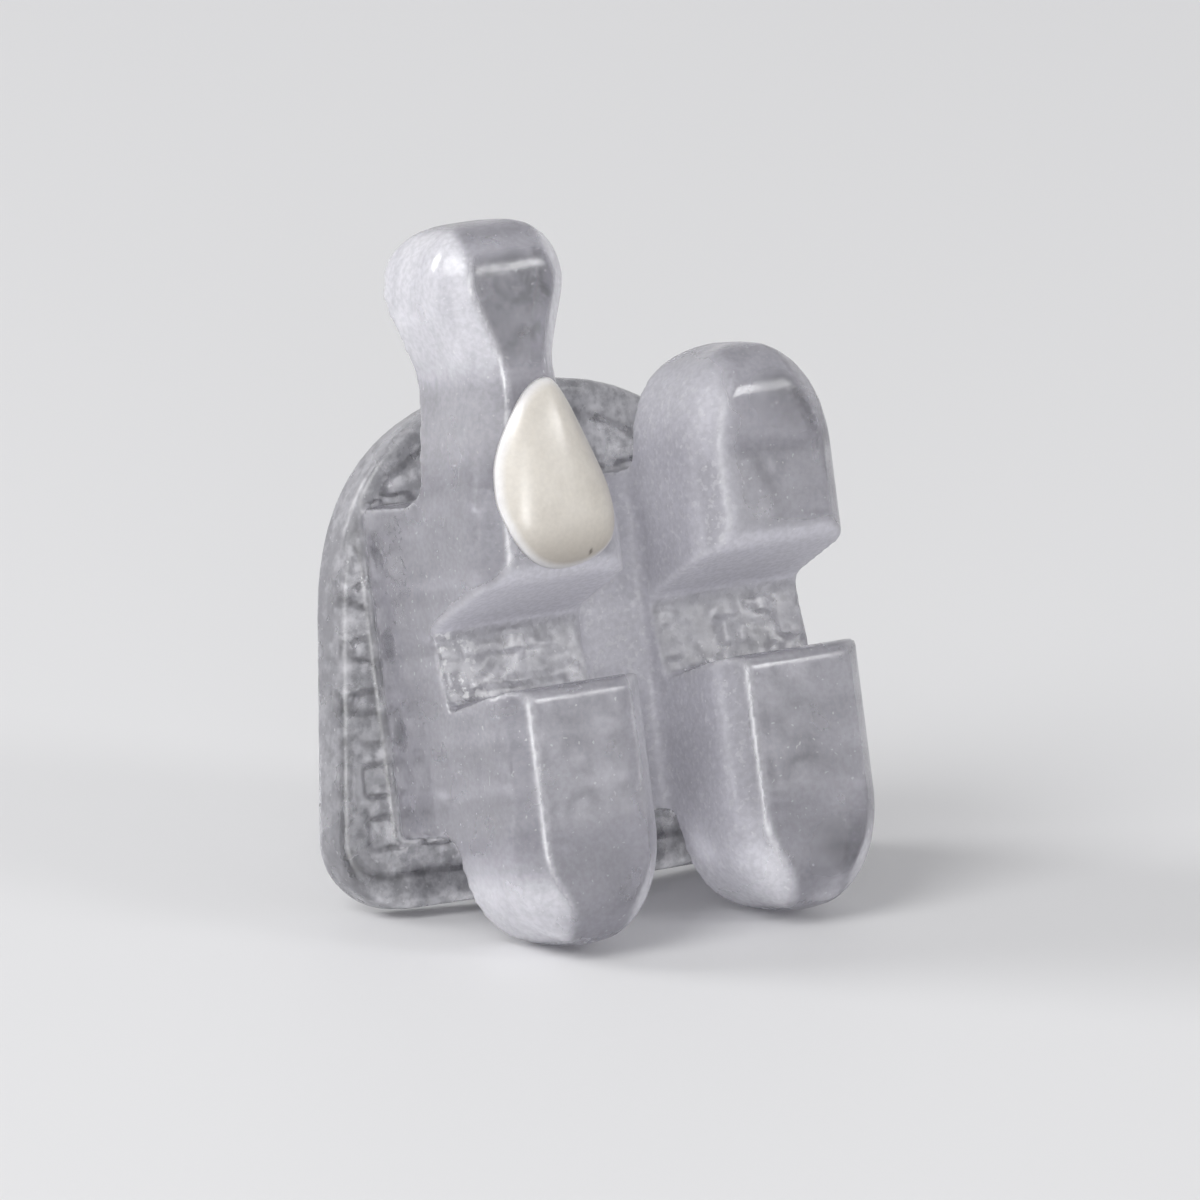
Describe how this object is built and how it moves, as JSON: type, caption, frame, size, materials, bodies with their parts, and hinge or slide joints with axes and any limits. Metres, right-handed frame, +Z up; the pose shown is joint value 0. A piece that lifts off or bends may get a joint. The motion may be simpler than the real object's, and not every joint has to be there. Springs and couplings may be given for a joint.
{
  "type": "orthodontic bracket",
  "caption": "Translucent ceramic orthodontic bracket: curved bonding pad, tie wings on each side of a torqued archwire slot, a ball hook on one wing and a drop of marking paint.",
  "frame": {"origin": "on the ground under the middle of the bracket's box, as it stands on its lower wing tips and the lower edge of its pad", "axes": "+Z up, towards the hook; +X along the archwire slot; +Y from the wing fronts towards the tooth"},
  "size_m": [0.0038, 0.0026, 0.0049],
  "materials": {
    "ceramic": "frosted translucent ceramic",
    "paint": "satin cured paint"
  },
  "bodies": {
    "root": {"bracket_body": "ceramic", "colour_mark": "paint"}
  },
  "joints": []
}
